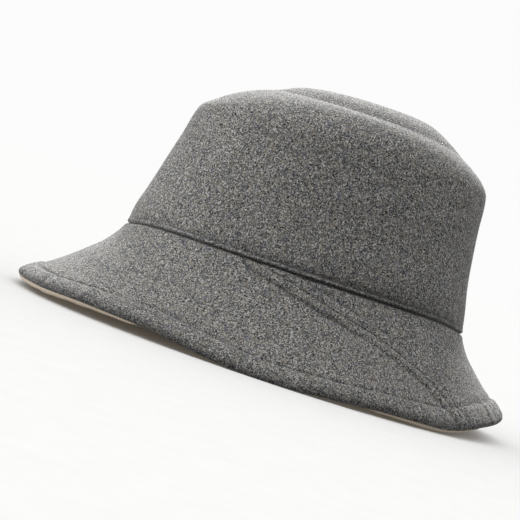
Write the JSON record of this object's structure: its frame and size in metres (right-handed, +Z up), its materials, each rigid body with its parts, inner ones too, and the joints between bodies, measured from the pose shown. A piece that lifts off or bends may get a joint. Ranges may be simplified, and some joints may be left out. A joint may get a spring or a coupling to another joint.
{
  "type": "wool bucket hat",
  "caption": "Soft felted-wool hat with a rounded crown, a small oval tip and a flaring brim cut in two panels along a swooping seam, faced in cotton.",
  "frame": {"origin": "on the surface that the hat rests on, under the middle of its bounding box", "axes": "+Z up, -Y towards the front of the hat, +X towards the wearer's left"},
  "size_m": [0.2564, 0.2914, 0.1622],
  "materials": {
    "wool": "matt felted wool, charcoal with pale fibres",
    "facing": "matt sand cotton twill"
  },
  "bodies": {
    "root": {"crown_tip": "wool", "crown_side": "wool", "brim_front": "wool", "brim_back": "wool", "brim_facing": "facing"}
  },
  "joints": []
}
